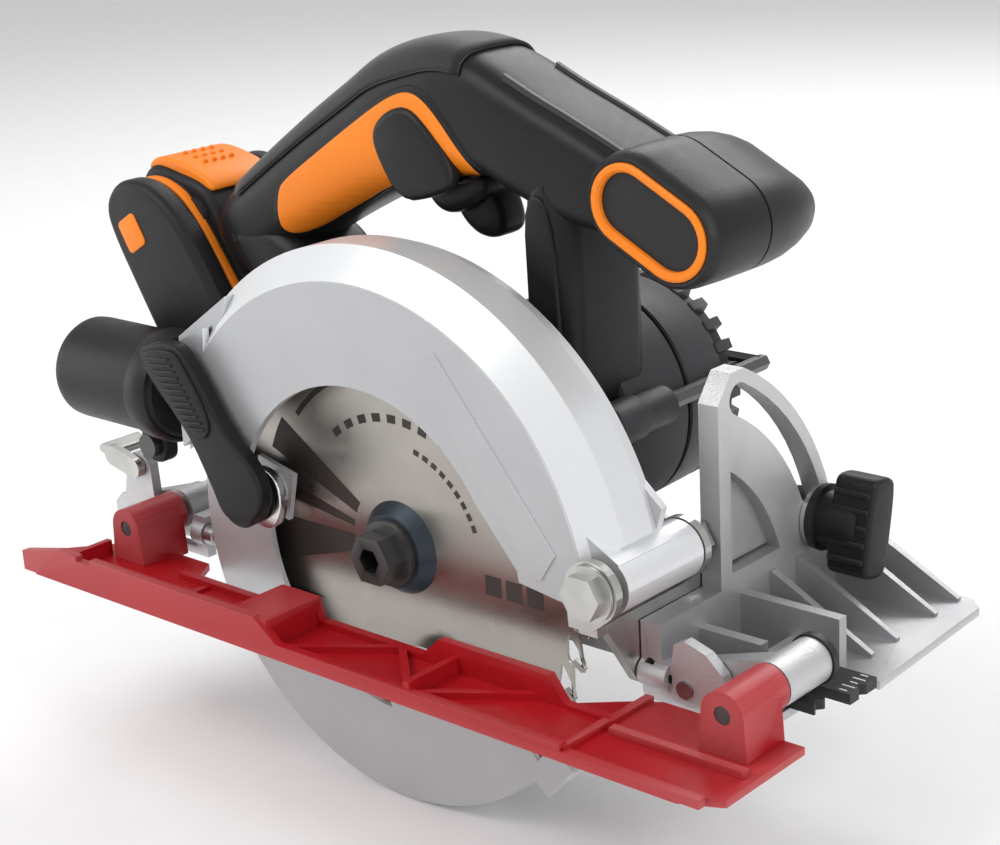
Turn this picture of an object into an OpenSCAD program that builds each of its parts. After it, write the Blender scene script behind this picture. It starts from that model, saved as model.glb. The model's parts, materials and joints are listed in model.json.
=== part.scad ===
// Cordless circular saw with a swinging guide rail.
// X runs forward, Y towards the motor, Z up from the sole; the blade turns at X = 0, Y = 0.

/* [Blade] */
// Blade diameter over the tooth tips
blade_d = 165; // [160:1:166]
// Bore of the blade
blade_bore = 20; // [16:2:20]
// Number of teeth
teeth = 40; // [24:2:48]
// Depth of cut at full plunge
cut_depth = 55; // [52:1:56]

/* [Base] */
// Rear end of the base, behind the arbor
base_rear = 158; // [150:1:160]
// Front end of the base, ahead of the arbor
base_front = 158; // [156:1:162]
// Far edge of the base, from the blade line
base_far = 118; // [112:1:122]
// Thickness of the base plate
base_t = 3; // [2.5:0.5:4]
// Highest bevel angle
bevel_max = 45; // [30:1:45]

/* [Guide rail] */
// Outer side of the rail, from the blade line
rail_out = 48; // [47:0.5:50]
// Height of the tall part of the rail
rail_h = 13; // [11:0.5:13]
// Length of the swing links between their pins
link_l = 30.8; // [30:0.2:31.6]

/* [Guards] */
// Outer radius of the upper guard
guard_r = 106; // [104:1:108]
// Outer radius of the lower guard
lower_r = 90; // [88:1:90]
// Radius of the opening in the upper guard
opening_r = 61; // [60:0.5:62]

/* [Body] */
// Slope of the grip
grip_ang = 30; // [28:1:32]
// Middle plane of the handle, from the blade line
body_y = 43; // [42:0.5:44]
// Half width of the handle
half_w = 20; // [18:0.5:20]
// Outer radius of the motor housing
motor_r = 40; // [38:0.5:41]
// Width of the battery
batt_w = 69; // [66:1:69]

/* [Hidden] */
$fn = 64;
arbor_z = blade_d / 2 - cut_depth;
blade_r = blade_d / 2;
motor_x = 24;
motor_z = arbor_z + 37;
idler_x = 16.9;
idler_z = arbor_z + 14;
y_near = body_y - half_w;
y_far = body_y + half_w;
bevel_y = 2;
bevel_z = 9;
slot_r = 88;
knob_ang = 17;
depth_x = 100;
depth_z = 42;
strip_r = 150;
strip_ang = 4;
clamp_x = depth_x - strip_r * cos(strip_ang);
clamp_z = depth_z + strip_r * sin(strip_ang);
port_y = -7.5;
port_z = 70;
port_r = 19;
batt_far = 81;
batt_near = batt_far - batt_w;
batt_y = (batt_near + batt_far) / 2;
key_x = 66.5;
key_z = 73;
lock_x = -13.5;
lock_z = 35;
ear_x = 54 * cos(166);
ear_z = arbor_z + 54 * sin(166);
knob_y = bevel_y + slot_r * cos(knob_ang);
knob_z = bevel_z + slot_r * sin(knob_ang);
link_x = 118;
link_z = 7;
link_up = 16.4;
boss_x = link_x + link_l * cos(link_up);
boss_z = link_z + link_l * sin(link_up);
rail_pitch = 268;
wall_x = 101.5;
sole_y = 60;
wall_t = 7.5;
grip_x = -100;
grip_z = 140;

// ---------- helpers ----------

// Round bar along Y from y0 to y1
module ybar(x, z, y0, y1, r) {
    translate([x, y0, z]) rotate([-90, 0, 0]) cylinder(h = y1 - y0, r = r);
}

// Round bar along X from x0 to x1
module xbar(y, z, x0, x1, r) {
    translate([x0, y, z]) rotate([0, 90, 0]) cylinder(h = x1 - x0, r = r);
}

// Cone along Y
module ycone(x, z, y0, y1, r0, r1) {
    translate([x, y0, z]) rotate([-90, 0, 0]) cylinder(h = y1 - y0, r1 = r0, r2 = r1);
}

// A side-view outline (X, Z) given thickness from y0 to y1
module side(y0, y1) {
    translate([0, y1, 0]) rotate([90, 0, 0]) linear_extrude(y1 - y0) children();
}

// A front-view outline (Y, Z) given thickness from x0 to x1
module front(x0, x1) {
    translate([x0, 0, 0]) rotate([90, 0, 90]) linear_extrude(x1 - x0) children();
}

// A box from its low corner to its high corner
module box(a, b) {
    translate(a) cube(b - a);
}

// Side-view outline drawn in the grip's own slanted frame
module grip_frame() {
    translate([grip_x, grip_z]) rotate(grip_ang) children();
}

// Rectangle with rounded corners between two corners
module rrect(a, b, r) {
    polygon(concat(arc_at([b[0] - r, b[1] - r], r, 0, 90, 6), arc_at([a[0] + r, b[1] - r], r, 90, 180, 6),
        arc_at([a[0] + r, a[1] + r], r, 180, 270, 6), arc_at([b[0] - r, a[1] + r], r, 270, 360, 6)));
}

// Bar with round ends between two points
module bar2(p, q, r) {
    t = atan2(q[1] - p[1], q[0] - p[0]);
    polygon(concat(arc_at(q, r, t - 90, t + 90, 12), arc_at(p, r, t + 90, t + 270, 12)));
}

// Points along an arc about any centre
function arc_at(c, r, a0, a1, n) = [for (i = [0:n]) c + r * [cos(a0 + (a1 - a0) * i / n), sin(a0 + (a1 - a0) * i / n)]];

// Points along an arc
function arc(r, a0, a1, n) = [for (i = [0:n]) r * [cos(a0 + (a1 - a0) * i / n), sin(a0 + (a1 - a0) * i / n)]];

// Sector between two radii and two angles
module sector(r0, r1, a0, a1) {
    n = ceil(abs(a1 - a0) / 5);
    polygon(concat(arc(r1, a0, a1, n), r0 > 0 ? arc(r0, a1, a0, n) : [[0, 0]]));
}

// Curved slot on a radius, with round ends
module arc_slot(r, w, a0, a1) {
    sector(r - w / 2, r + w / 2, a0, a1);
    for (a = [a0, a1]) translate(r * [cos(a), sin(a)]) circle(w / 2);
}

// Spur gear along Y
module gear(x, z, y0, y1, r, n, bore) {
    tip = r;
    root = r - 1.5;
    translate([x, y1, z]) rotate([90, 0, 0]) difference() {
        linear_extrude(y1 - y0) union() {
            circle(root);
            for (i = [0:n - 1]) rotate(360 * i / n) {
                polygon([[root - 0.3, -PI * r / n / 2.2], [tip, -PI * r / n / 4],
                    [tip, PI * r / n / 4], [root - 0.3, PI * r / n / 2.2]]);
            }
        }
        translate([0, 0, -1]) cylinder(h = y1 - y0 + 2, r = bore);
    }
}

// Hexagonal prism along Y
module yhex(x, z, y0, y1, flats) {
    translate([x, y0, z]) rotate([-90, 0, 0]) cylinder(h = y1 - y0, r = flats / sqrt(3), $fn = 6);
}

// ---------- base ----------

module base_outline() {
    polygon([[-base_rear + 8, 6], [-112, 14], [-98, 20], [wall_x, 20], [wall_x, 0.5], [146, 0.5], [146, 46],
        [base_front, 46], [base_front - 3, base_far - 5], [base_front - 8, base_far],
        [-base_rear + 10, base_far], [-base_rear, base_far - 10], [-base_rear, 14]]);
}

module quadrant() {
    front(wall_x, wall_x + wall_t) difference() {
        union() {
            intersection() {
                translate([bevel_y, bevel_z]) sector(0, slot_r + 9.6, 4, 88);
                polygon([[32, 0], [32, 87], [39, 96], [110, 96], [110, 0]]);
            }
        }
        translate([bevel_y, bevel_z]) arc_slot(slot_r, 10.4, knob_ang - 2, knob_ang + bevel_max);
        intersection() {
            translate([bevel_y, bevel_z]) sector(0, slot_r - 22, 0, 90);
            polygon([[38, 30], [38, 80], [90, 80], [90, 30]]);
        }
    }
    // floor of the window, thinner than the frame
    front(wall_x, wall_x + 2.5) translate([bevel_y, bevel_z]) intersection() {
        sector(0, slot_r - 21, 0, 90);
        polygon([[33, 22], [33, 74], [83, 74], [83, 22]]);
    }
}

module base_plate() color("silver") difference() {
    union() {
        linear_extrude(base_t) base_outline();
        // cross wall, quadrant and the near wall that carries the link pin
        box([wall_x, 0, 2], [wall_x + wall_t, base_far - 6, 26]);
        quadrant();
        side(0, 4) polygon([[wall_x, 2], [wall_x, 24], [105, 26], [109, 24], [109, 14], [113, 14],
            [114, 21], [118, 23], [126, 20.5], [132, 15], [135, 8], [135, 2]]);
        // front pocket and its walls
        box([wall_x + wall_t, 20, 2], [132, 24, 18]);
        box([wall_x + wall_t, 42, 2], [146, 46, 22]);
        box([128, 20, 2], [132, 46, 12]);
        // fins on the front plate
        for (y = [60, 75, 99, 114]) {
            hull() {
                box([wall_x + wall_t - 1, y - 1.6, 2], [wall_x + wall_t + 1, y + 1.6, 24]);
                box([wall_x + wall_t + 10, y - 1.6, 2], [wall_x + wall_t + 12, y + 1.6, 9]);
                box([146, y - 1, 2], [147, y + 1, 4]);
            }
        }
        // stiffening ribs and end walls
        for (y = [20, 48, 76, base_far - 4]) box([-base_rear + 12, y, 2], [wall_x + 1, y + 3, 6.5]);
        box([-base_rear + 6, 8, 2], [-base_rear + 10, base_far - 8, 9]);
        // rear wall that carries the rear link pin, and the bevel hinge ears
        side(0, 4) polygon([[-157, 2], [-157, 12], [-153, 16], [-131.6, 16], [-131.6, 2]]);
        box([-110, 0, 2], [-104, 22, 16]);
        box([-157, 0, 0], [-104, 4, 3]);
        // ear for the release lever
        side(0, 4) polygon([[-151, 14], [-147, 31], [-143, 34.5], [-137, 34.5], [-133.6, 31], [-132.6, 14]]);
        xbar(bevel_y, bevel_z, wall_x, wall_x + wall_t + 3, 4.8);
        xbar(bevel_y, bevel_z, -110, -104, 4.8);
    }
    // bores for the bevel pins and the link pins
    xbar(bevel_y, bevel_z, wall_x - 1, wall_x + wall_t + 4, 2.5);
    xbar(bevel_y, bevel_z, -112, -102, 2.5);
    for (x = [link_x, link_x - rail_pitch]) ybar(x, link_z, -1, 5, 3);
    ybar(105, 12.5, -1, 4.5, 1.8);
    ybar(-140, 29.5, -1, 5, 2.05);
    // slot for a rip fence, across the front
    box([134, 3, -1], [144, base_far + 1, 1.2]);
    // pockets for the swing links and their pins
    for (x = [link_x, link_x - rail_pitch]) {
        side(4, 13.4) translate([x, 0]) polygon([[-9, -1], [4, -1], [6, 0.6], [38, 8.9], [38, 50], [-9, 50]]);
    }
    ybar(link_x, link_z, 4, 13.4, 9);
    translate([0, 0, -20]) cube([600, 600, 40], center = true);
}

module cut_indicator() color("black") difference() {
    union() {
        box([134.5, 14, 3.4], [146, 41, 6.9]);
        box([144, 14, 3.4], [155, 20, 6.9]);
        box([144, 26, 3.4], [160, 41, 6.9]);
    }
    translate([155, 17, 0]) rotate([0, 0, 45]) cube([3, 3, 20], center = true);
    translate([160, 33, 0]) rotate([0, 0, 45]) cube([3, 3, 20], center = true);
    translate([139, 22, 2]) cylinder(h = 10, r = 1.6);
}

module link_pivot_pins() color("gray") {
    for (x = [link_x, link_x - rail_pitch]) ybar(x, link_z, -0.8, 12.6, 2.95);
}

// One swing link: an arm beside the base wall and a barrel at the rail's boss
module link(x, z, bore, y1) {
    difference() {
        union() {
            hull() {
                ybar(x, z, 4.4, 11.5, 7);
                ybar(x + link_l * cos(link_up), z + link_l * sin(link_up), 4.4, 11.5, 7.4);
            }
            ybar(x + link_l * cos(link_up), z + link_l * sin(link_up), 2.1, y1, 7.5);
        }
        ybar(x, z, 4, 12, 3);
        ybar(x + link_l * cos(link_up), z + link_l * sin(link_up), 1, y1 + 1, bore);
    }
}

module front_link() color("silver") link(link_x, link_z, 3, 24);

module front_link_cap() color("black") ybar(boss_x, boss_z, 24.3, 26.8, 8.2);

module rear_link() color("silver") link(link_x - rail_pitch, link_z, 3.05, 13.1);

// ---------- guide rail ----------

module rail_boss(x, y0, y1) {
    hull() {
        ybar(x, boss_z, y0, -3, 7.5);
        box([x - 8.5, y0, 1], [x + 8.5, -3, 3]);
    }
    ybar(x, boss_z, -4, y1, 7.5);
}

// Slanted web between two rail walls
module web(x0, y0, x1, y1, h) {
    hull() {
        translate([x0, y0, 0]) cylinder(h = h, r = 1.3, $fn = 16);
        translate([x1, y1, 0]) cylinder(h = h, r = 1.3, $fn = 16);
    }
}

module guide_rail() color("firebrick") difference() {
    union() {
        // floor
        linear_extrude(2.5) polygon([[-146, -rail_out], [150, -rail_out], [163, -rail_out + 6], [163, -3],
            [112, -3], [104, -8], [88, -21], [-86, -21], [-94, -8], [-134, -8], [-154, -30], [-154, -rail_out + 5]]);
        // tall outer wall at the rear, low outer wall ahead of it
        side(-rail_out, -rail_out + 3.2) polygon([[-153, 0.5], [-153, 8], [-130, rail_h], [-24, rail_h],
            [-14, 5.5], [108, 5.5], [108, 3.5], [158, 3.5], [158, 0.5]]);
        // inner wall, low beside the guard lever and tall ahead of it
        side(-24.2, -21) polygon([[-92, 0.5], [-92, 5], [-41, 5], [-38, rail_h - 1],
            [-20, rail_h - 1], [-18, 4.8], [30, 4.8], [38, rail_h - 1], [84, rail_h - 1], [90, 4], [106, 4], [106, 0.5]]);
        // cross walls
        for (x = [-134, -76, -44, 45]) box([x - 1.3, -rail_out + 1, 1], [x + 1.3, -22, x > -80 && x < -40 ? 3.8 : 8]);
        box([-38, -rail_out + 1, 1], [-19, -22, rail_h - 0.6]);
        box([106, -rail_out + 1, 1], [109, -25, 4.5]);
        box([106, -25, 1], [109, -4, 4]);
        box([112, -30, 1], [160, -27, 5]);
        rail_webs();
        rail_boss(boss_x, -22, 1.5);
        rail_boss(boss_x - rail_pitch, -24, -0.5);
    }
    for (x = [boss_x, boss_x - rail_pitch]) ybar(x, boss_z, -60, 2, 3);
    box([-156, -36, 6], [-146, -28, 20]);
    box([-120, -rail_out - 1, rail_h - 2], [-112, -rail_out + 4, 20]);
}

module rail_webs() {
    for (w = [[-12, -45, 20, -23], [44, -45, 20, -23], [47, -45, 80, -23]]) {
        web(w[0], w[1], w[2], w[3], 4.8);
    }
}

module rail_pins() color("dimgray") {
    ybar(boss_x, boss_z, -21.6, 23.4, 2.95);
    ybar(boss_x - rail_pitch, boss_z, -23.6, 12.6, 2.95);
}

module rail_release_lever() color("silver") {
    side(-3.6, -0.4) bar2([-140, 29.5], [-152, 32.5], 4);
    side(-3.6, 14) bar2([-152, 33.2], [-157, 34.5], 1.8);
    ybar(-140, 29.5, -0.6, 4.1, 2);
}

// ---------- bevel bracket ----------

module bevel_pins() color("gray") {
    xbar(bevel_y, bevel_z, 95.4, wall_x + wall_t + 1.6, 2.45);
    xbar(bevel_y, bevel_z, -110, -98, 2.45);
}

module bevel_yoke() color("lightgray") difference() {
    union() {
        // plate behind the quadrant, from the hinge up to the clamp bolt
        front(wall_x - 4, wall_x - 0.4) union() {
            hull() {
                translate([bevel_y, bevel_z]) circle(4.6, $fn = 32);
                translate([-14, 28]) circle(1.5, $fn = 32);
                translate([20, 26]) circle(2.6, $fn = 32);
            }
            hull() {
                translate([knob_y, knob_z]) circle(8.5, $fn = 32);
                translate([16, 21]) circle(6, $fn = 32);
            }
        }
        // U shaped saddle round the guard's barrel
        for (y = [-21.5, 23]) side(y, y + 3) hull() {
            translate([depth_x, depth_z]) circle(10, $fn = 32);
            translate([wall_x - 6, 29]) square([4, 4]);
            translate([depth_x - 9, 29]) square([4, 4]);
        }
        box([wall_x - 8, -20, 27], [wall_x - 0.6, 26, 30]);
    }
    xbar(bevel_y, bevel_z, 90, 110, 2.5);
    xbar(knob_y, knob_z, 90, 110, 4);
    ybar(depth_x, depth_z, -30, 50, 4);
}

module rear_bevel_bracket() color("lightgray") difference() {
    union() {
        // depth strip on its arc about the depth pivot
        side(14, 16.4) union() {
            translate([depth_x, depth_z]) difference() {
                sector(strip_r - 7, strip_r + 7, 147, 193);
                arc_slot(strip_r, 6.4, 180 - strip_ang - 26, 180 - strip_ang + 1);
            }
            polygon([[-52, 5.5], [-44, 5.5], [-44, 14], [-52, 14]]);
            bar2([-100.8, 5.8], [-84, 6.2], 1.6);
            hull() {
                translate([-85, 6.8]) circle(2, $fn = 32);
                translate([-46, 10]) circle(5, $fn = 32);
            }
        }
        front(-103.4, -99) hull() {
            translate([bevel_y, bevel_z]) circle(4.2, $fn = 32);
            translate([15.4, 4.2]) square([1, 2.4]);
        }
    }
    xbar(bevel_y, bevel_z, -115, -96, 2.5);
}

module bevel_clamp_bolt() color("gray") {
    xbar(knob_y, knob_z, wall_x - 4.2, wall_x + 32, 3.95);
    translate([wall_x - 8.5, knob_y, knob_z]) rotate([0, 90, 0]) cylinder(h = 4.4, r = 7.5, $fn = 6);
}

module bevel_washer() color("gray") difference() {
    xbar(knob_y, knob_z, wall_x + wall_t + 0.2, wall_x + wall_t + 1.9, 10.5);
    xbar(knob_y, knob_z, wall_x, wall_x + wall_t + 4, 4.02);
}

module bevel_knob() color("black") difference() {
    union() {
        xbar(knob_y, knob_z, wall_x + wall_t + 2.2, wall_x + wall_t + 5, 11.5);
        xbar(knob_y, knob_z, wall_x + wall_t + 2.2, wall_x + wall_t + 20, 9.5);
        translate([wall_x + wall_t + 9, knob_y, knob_z]) rotate([-8, 0, 0]) hull() {
            for (s = [-1, 1]) translate([0, 0, 20 * s]) rotate([0, 90, 0]) cylinder(h = 17, r = 4, $fn = 32);
        }
    }
    xbar(knob_y, knob_z, wall_x, wall_x + 32.5, 4.02);
}

module depth_pivot_bolt() color("silver") {
    ybar(depth_x, depth_z, -23, 32, 3.95);
    yhex(depth_x, depth_z, -27, -22.8, 13);
    ybar(depth_x, depth_z, -23, -21.7, 9);
}

module depth_pivot_nut() color("silver") difference() {
    yhex(depth_x, depth_z, 26.2, 31.2, 13);
    ybar(depth_x, depth_z, 25, 33, 3.97);
}

module depth_clamp_bolt() color("gray") {
    ybar(clamp_x, clamp_z, 12.3, 13.8, 7);
    ybar(clamp_x, clamp_z, 13.8, 30, 2.95);
}

module depth_clamp_lever() color("black") difference() {
    union() {
        ybar(clamp_x, clamp_z, 21.8, 29, 7);
        side(23, 28) hull() {
            translate([clamp_x, clamp_z]) circle(6, $fn = 32);
            translate([clamp_x - 34, clamp_z - 12]) circle(4, $fn = 32);
        }
    }
    ybar(clamp_x, clamp_z, 20, 31, 2.98);
}

// ---------- guards ----------

module guard_outline(r) {
    difference() {
        union() {
            translate([0, arbor_z]) sector(0, r, 14, 163);
            // tongue that reaches the depth pivot
            polygon([[60, 38], [96, 33], [104, 60], [70, 90], [40, 74]]);
        }
        polygon([[0, 0], [-57, 49.5], [-64, 53.5], [-80, 74], [-91.6, 80], [-91.6, 92], [-120, 92], [-120, -20],
            [0, -20]]);
        translate([60, 20]) square([60, 13]);
    }
}

module guard_opening() {
    translate([0, arbor_z]) circle(opening_r);
    polygon([[-61, 27], [-58, 50], [38, 76], [68, 40.5], [69, 33], [88, 32], [88, -10], [-61, -10]]);
}

module upper_guard() color("gainsboro") difference() {
    union() {
        // near wall with its bevelled rim
        side(-18, -15) difference() {
            intersection() {
                guard_outline(guard_r);
                translate([0, arbor_z]) circle(guard_r - 10.6);
            }
            guard_opening();
        }
        intersection() {
            translate([0, 0, arbor_z]) rotate([-90, 0, 0]) rotate_extrude($fn = 96) {
                polygon([[guard_r - 13, -17.5], [guard_r - 10.4, -17.5], [guard_r, -8], [guard_r, 6],
                    [guard_r - 2, 11.6], [guard_r - 6, 11.6], [guard_r - 3, 4], [guard_r - 3, -7],
                    [guard_r - 11.5, -15.4], [guard_r - 13, -15.4]]);
            }
            side(-19, 13) guard_outline(guard_r + 1);
        }
        // far wall
        side(8.9, 11.8) difference() {
            guard_outline(guard_r - 3);
            polygon([[-120, -10], [-120, 20], [120, 20], [120, -10]]);
        }
        side(8.9, 11.8) translate([0, arbor_z]) circle(26.5);
        // barrel round the depth pivot, its web, and the outlet towards the dust port
        difference() {
            union() {
                ybar(depth_x, depth_z, -15, 22.6, 9.5);
                side(-15, 11.8) polygon([[78, 40], [100, 33], [106, 50], [88, 60]]);
                side(-15, 8) difference() {
                    polygon([[-78, 58], [-89, 50], [-89, 92], [-62, 110]]);
                    polygon([[-70, 62], [-86, 55], [-86, 88], [-70, 99]]);
                }
                side(-17.9, -15) polygon([[-75, 62], [-89, 52], [-89, 90], [-72, 98]]);
                side(7, 11.8) polygon([[-75, 58], [-87, 52], [-87, 91], [-64, 108]]);
                xbar(port_y, port_z, -91.7, -87.5, 10.6);
            }
            ybar(0, arbor_z, -14.9, 8.85, guard_r - 13);
        }
        // raised panel on the flat face
        side(-18.6, -17.9) polygon([[30, 99], [38, 106], [84, 49], [78, 40], [74, 40]]);
    }
    // clearance for the spindle, the depth pivot and the outlet bore
    ybar(0, arbor_z, 8, 13, 17.3);
    ybar(depth_x, depth_z, -20, 40, 4.02);
    xbar(port_y, port_z, -95, -70, 7.8);
}

module guard_screws() color("dimgray") {
    for (p = [[-34, 112], [-6, 62], [34, 44]]) ybar(p[0], p[1], 6.9, 8.7, 3.2);
}

module dust_port() color("black") difference() {
    union() {
        xbar(port_y, port_z, -150, -95.5, port_r);
        side(-9, -3) polygon([[-124, 58], [-112, 56], [-112, 42], [-115, 38], [-121, 38], [-124, 42]]);
    }
    xbar(port_y, port_z, -151, -98, port_r - 2);
    xbar(port_y, port_z, -99, -95, 8);
    ybar(-118, 45, -12, 0, 2);
}

module dust_port_screw() color("black") {
    ybar(-118, 45, -12, -9.1, 4.5);
    ybar(-118, 45, -9.2, -3, 1.95);
}

module lower_outline() {
    translate([0, arbor_z]) difference() {
        union() {
            sector(0, lower_r, -196, -42);
            sector(lower_r - 4, lower_r + 7, -46, -36);
        }
        difference() {
            circle(57);
            translate(50 * [cos(-75), sin(-75)]) circle(17);
        }
    }
}

module lower_guard() color("gainsboro") difference() {
    union() {
        side(-8.5, -6.5) lower_outline();
        side(-8.2, 6.3) translate([0, arbor_z]) sector(lower_r - 2.4, lower_r - 0.3, -195.4, -42.6);
        side(-7.5, 6.2) translate([0, arbor_z]) sector(lower_r - 1, lower_r + 6, -45, -40.5);
        side(4.8, 6.6) translate([0, arbor_z]) difference() {
            union() {
                sector(0, lower_r, -196, -42);
                circle(24);
            }
            circle(12);
        }
        // ear that the lever is screwed to
        ybar(ear_x, ear_z, -14.4, -6.5, 6.5);
        side(-8.5, -6.5) translate([0, arbor_z]) rotate(166) translate([46, -9]) square([18, 18]);
    }
    ybar(0, arbor_z, 4, 9, 17.05);
    ybar(ear_x, ear_z, -15, -9, 2);
}

module guard_lever() color("black") difference() {
    union() {
        ybar(ear_x, ear_z, -24, -14.6, 4.8);
        ybar(ear_x, ear_z, -25, -19, 9.5);
        hull() {
            ybar(ear_x - 3, ear_z + 5, -25, -19.5, 5);
            ybar(ear_x - 22, ear_z + 30, -25.5, -19.5, 6);
        }
        hull() {
            ybar(ear_x - 22, ear_z + 30, -26, -19.5, 6);
            ybar(ear_x - 36, ear_z + 48, -28, -20.5, 6.5);
        }
    }
    ybar(ear_x, ear_z, -23, -14, 2);
    ybar(ear_x, ear_z, -26, -22, 5);
}

module guard_lever_screw() color("dimgray") {
    ybar(ear_x, ear_z, -24.5, -22.1, 3.8);
    ybar(ear_x, ear_z, -22.2, -10, 1.95);
}

// Flat spiral that turns the lower guard shut
module guard_spring() color("gray") {
    turns = 2.5;
    n = 60;
    inner = [for (i = [0:n]) let (a = 360 * turns * i / n, r = 18.4 + 6 * i / n) r * [cos(a), sin(a)]];
    outer = [for (i = [n:-1:0]) let (a = 360 * turns * i / n, r = 19.4 + 6 * i / n) r * [cos(a), sin(a)]];
    side(7, 8.5) translate([0, arbor_z]) polygon(concat(inner, outer));
}

// ---------- drive ----------

module case_outline(grow) {
    hull() {
        translate([0, arbor_z]) circle(18 + grow, $fn = 32);
        translate([idler_x, idler_z]) circle(22 + grow, $fn = 32);
        translate([motor_x, motor_z]) circle(34 + grow, $fn = 48);
    }
}

module gear_case() color("silver") difference() {
    union() {
        side(12.2, 44.6) case_outline(1.5);
        ybar(0, arbor_z, 4.9, 12.4, 17);
        // lug for the depth clamp
        side(16.8, 21.5) hull() {
            translate([clamp_x, clamp_z]) circle(8, $fn = 32);
            translate([-10, 60]) circle(14, $fn = 32);
        }
    }
    side(20, 41) case_outline(-1.5);
    ybar(0, arbor_z, 4, 21, 8.5);
    ybar(0, arbor_z, 12.6, 21, 13);
    ybar(0, arbor_z, 41, 43, 11);
    ybar(motor_x, motor_z, 40, 50, 9);
    ybar(clamp_x, clamp_z, 5, 25, 3);
    ybar(lock_x, lock_z, 40, 46, 2.55);
    ybar(idler_x, idler_z, 16, 44.2, 3);
}

module spindle_bearings() color("gray") {
    difference() {
        ybar(0, arbor_z, 12.8, 19.6, 12.95);
        ybar(0, arbor_z, 12, 21, 8.03);
    }
    difference() {
        ybar(0, arbor_z, 40.8, 43, 10.9);
        ybar(0, arbor_z, 40, 44, 4.03);
    }
}

module spindle() color("gray") {
    ybar(0, arbor_z, 4.6, 20.4, 8);
    ybar(0, arbor_z, 20.4, 42.6, 4);
    ybar(0, arbor_z, -7.4, 4.6, 3.98);
}

module spindle_gear() color("gray") difference() {
    gear(0, arbor_z, 22, 30, 15, 24, 4.02);
    ybar(0, arbor_z, 21, 31, 4.02);
}

module idler_gear() color("gray") {
    ybar(idler_x, idler_z, 16.4, 44, 2.95);
    gear(idler_x, idler_z, 31.5, 38, 17.4, 36, 2.9);
    gear(idler_x, idler_z, 22, 30.5, 6.6, 11, 2.9);
}

module inner_flange() color("slategray") difference() {
    union() {
        ybar(0, arbor_z, 0.65, 4.6, 16.5);
        ybar(0, arbor_z, -0.5, 1, blade_bore / 2 - 0.03);
    }
    ybar(0, arbor_z, -2, 6, 4.02);
}

module blade() color("silver") difference() {
    side(-0.6, 0.6) translate([0, arbor_z]) union() {
        circle(blade_r - 6, $fn = 96);
        for (i = [0:teeth - 1]) rotate(-360 * i / teeth) {
            polygon([[0, blade_r - 8], [0, blade_r], [-3.2, blade_r - 0.8], [-8.5, blade_r - 7.5], [-4, blade_r - 9]]);
        }
    }
    ybar(0, arbor_z, -2, 2, blade_bore / 2);
    for (a = [45:90:315]) {
        side(-1, 1) translate([0, arbor_z]) rotate(a) translate([70, 0]) rotate(20) square([14, 0.8]);
    }
}

module outer_flange() color("slategray") difference() {
    ycone(0, arbor_z, -5.4, -0.65, 13, 16.5);
    ybar(0, arbor_z, -7, 1, 4.02);
}

module blade_bolt() color("black") difference() {
    union() {
        ybar(0, arbor_z, -8, -5.5, 11.5);
        yhex(0, arbor_z, -16, -7.9, 16);
    }
    yhex(0, arbor_z, -17, -9, 8);
    ybar(0, arbor_z, -7.6, -5, 4.02);
}

module spindle_lock() color("orange") {
    ybar(lock_x, lock_z, 46.6, 51, 4.5);
    ybar(lock_x, lock_z, 42, 46.7, 2.5);
}

// ---------- motor ----------

module armature() color("peru") {
    ybar(motor_x, motor_z, 28, 103, 3.9);
    gear(motor_x, motor_z, 31.5, 38, 5.9, 9, 3);
    ybar(motor_x, motor_z, 54, 86, 23.5);
    ybar(motor_x, motor_z, 51, 54, 18);
    ybar(motor_x, motor_z, 86, 91, 18);
}

module motor_fan() color("dimgray") difference() {
    union() {
        ybar(motor_x, motor_z, 92, 93.5, 30);
        for (i = [0:10]) translate([motor_x, 93.4, motor_z]) rotate([-90, 360 * i / 11, 0]) {
            translate([10, 0, 0]) cube([19, 1.2, 3.6]);
        }
        ybar(motor_x, motor_z, 92, 97, 8);
    }
    ybar(motor_x, motor_z, 90, 99, 3.92);
}

module motor_bearings() color("gray") {
    for (y = [41, 98]) difference() {
        ybar(motor_x, motor_z, y, y + 4.4, 8.9);
        ybar(motor_x, motor_z, y - 1, y + 6, 3.95);
    }
}

module motor_stator() color("dimgray") difference() {
    ybar(motor_x, motor_z, 52, 88, 35.9);
    ybar(motor_x, motor_z, 51, 89, 24.5);
}

module motor_housing() color([0.27, 0.26, 0.28]) difference() {
    union() {
        ybar(motor_x, motor_z, 45.2, 79, motor_r);
        ybar(motor_x, motor_z, 79, 102, motor_r - 1);
        hull() {
            ybar(motor_x, motor_z - motor_r + 12, 46, 74, 9);
            box([motor_x - 8, 46, motor_z - motor_r - 2], [motor_x + 8, 74, motor_z - motor_r]);
        }
        // clip that holds the hex key
        ybar(key_x, key_z, 30, 60, 7.4);
    }
    ybar(motor_x, motor_z, 47.5, 103, 36);
    ybar(motor_x, motor_z, 44, 48, 34);
    difference() {
        ybar(motor_x, motor_z, 77.5, 79.5, motor_r + 9);
        ybar(motor_x, motor_z, 77, 80, motor_r - 1.6);
    }
    ybar(key_x, key_z, 25, 61, 3.4);
    ybar(motor_x, motor_z, 20, 45.1, 35.8);
}

module motor_end_cap() color([0.22, 0.21, 0.23]) difference() {
    union() {
        ybar(motor_x, motor_z, 102.3, 112, 33);
        ybar(motor_x, motor_z, 95, 102.3, 35.6);
    }
    difference() {
        ybar(motor_x, motor_z, 94, 108, 32.6);
        ybar(motor_x, motor_z, 97.8, 112, 12);
    }
    ybar(motor_x, motor_z, 97, 103.6, 9);
    for (i = [0:17]) translate([motor_x, 104, motor_z]) rotate([0, 20 * i, 0]) {
        translate([24, 0, -1.6]) cube([12, 9, 3.2]);
    }
}

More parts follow.
